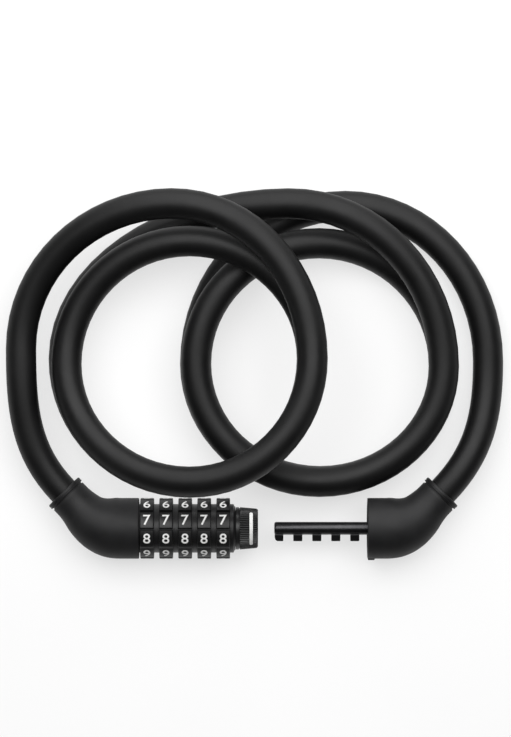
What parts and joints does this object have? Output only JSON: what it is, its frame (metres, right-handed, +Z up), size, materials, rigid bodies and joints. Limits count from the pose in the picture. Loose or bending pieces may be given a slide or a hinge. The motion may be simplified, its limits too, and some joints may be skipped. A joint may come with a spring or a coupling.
{
  "type": "cable lock",
  "caption": "Combination cable lock: a keyless lock head with number dials and a reset knob, a finned locking pin in a hollow elbow, and a looped sheathed wire cable.",
  "frame": {"origin": "on the surface that the lock lies on, below the middle of the rigid pieces (lock head and pin end, without the cable)", "axes": "+X along the common axis of dials, knob and pin, from the lock head to the pin end; +Y towards the cable's loops; +Z up from the surface"},
  "size_m": [0.1965, 0.1465, 0.0537],
  "materials": {
    "elbow_plastic": "fine satin moulded ABS, black",
    "ring_plastic": "satin black",
    "crimp_brass": "dull, crimped",
    "screw_steel": "blackened",
    "dowel_steel": "ground",
    "spindle_steel": "turned steel",
    "spacer_plastic": "satin black",
    "spring_steel": "bright spring steel",
    "dial_plastic": "fine satin moulded ABS, black, with white printed numbers",
    "tumbler_brass": "turned",
    "knob_plastic": "knurled, satin black",
    "index_paint": "white paint",
    "pin_steel": "blackened hardened steel",
    "sheath_vinyl": "semi-gloss extruded vinyl, black",
    "core_wire": "stranded galvanised wire"
  },
  "bodies": {
    "lock_head": {"lock_elbow": "elbow_plastic", "lock_mouth_ring": "ring_plastic", "lock_crimp_sleeve": "crimp_brass", "lock_grub_screw": "screw_steel", "spindle": "spindle_steel", "spindle_dowel": "dowel_steel", "spacer_ring_1": "spacer_plastic", "spacer_ring_2": "spacer_plastic", "spacer_ring_3": "spacer_plastic", "spacer_ring_4": "spacer_plastic", "end_cap": "spacer_plastic", "spring_washers": "spring_steel", "retaining_clip": "spring_steel", "reset_spring": "spring_steel", "cable_sheath": "sheath_vinyl", "cable_core": "core_wire"},
    "number_dial_1": {"dial_1": "dial_plastic", "tumbler_1": "tumbler_brass"},
    "number_dial_2": {"dial_2": "dial_plastic", "tumbler_2": "tumbler_brass"},
    "number_dial_3": {"dial_3": "dial_plastic", "tumbler_3": "tumbler_brass"},
    "number_dial_4": {"dial_4": "dial_plastic", "tumbler_4": "tumbler_brass"},
    "number_dial_5": {"dial_5": "dial_plastic", "tumbler_5": "tumbler_brass"},
    "knob": {"reset_knob": "knob_plastic", "knob_index_band": "index_paint"},
    "pin_end": {"pin_elbow": "elbow_plastic", "pin_mouth_ring": "ring_plastic", "pin_crimp_sleeve": "crimp_brass", "pin_grub_screw": "screw_steel", "locking_pin": "pin_steel", "pin_dowel": "dowel_steel"}
  },
  "joints": [
    {"name": "dial_1_spin", "type": "hinge", "parent": "lock_head", "child": "number_dial_1", "pos_m": [-0.04183, -0.00387, 0.012], "axis": [1, 0, 0], "continuous": true},
    {"name": "dial_2_spin", "type": "hinge", "parent": "lock_head", "child": "number_dial_2", "pos_m": [-0.03433, -0.00387, 0.012], "axis": [1, 0, 0], "continuous": true},
    {"name": "dial_3_spin", "type": "hinge", "parent": "lock_head", "child": "number_dial_3", "pos_m": [-0.02683, -0.00387, 0.012], "axis": [1, 0, 0], "continuous": true},
    {"name": "dial_4_spin", "type": "hinge", "parent": "lock_head", "child": "number_dial_4", "pos_m": [-0.01932, -0.00387, 0.012], "axis": [1, 0, 0], "continuous": true},
    {"name": "dial_5_spin", "type": "hinge", "parent": "lock_head", "child": "number_dial_5", "pos_m": [-0.01183, -0.00387, 0.012], "axis": [1, 0, 0], "continuous": true},
    {"name": "knob_turn", "type": "hinge", "parent": "lock_head", "child": "knob", "pos_m": [-0.0025, -0.00387, 0.012], "axis": [1, 0, 0], "range_deg": [0, 90]},
    {"name": "pin_slide", "type": "slide", "parent": "lock_head", "child": "pin_end", "axis": [-1, 0, 0], "range_m": [0, 0.0539], "deforming": ["cable_sheath", "cable_core"]}
  ]
}
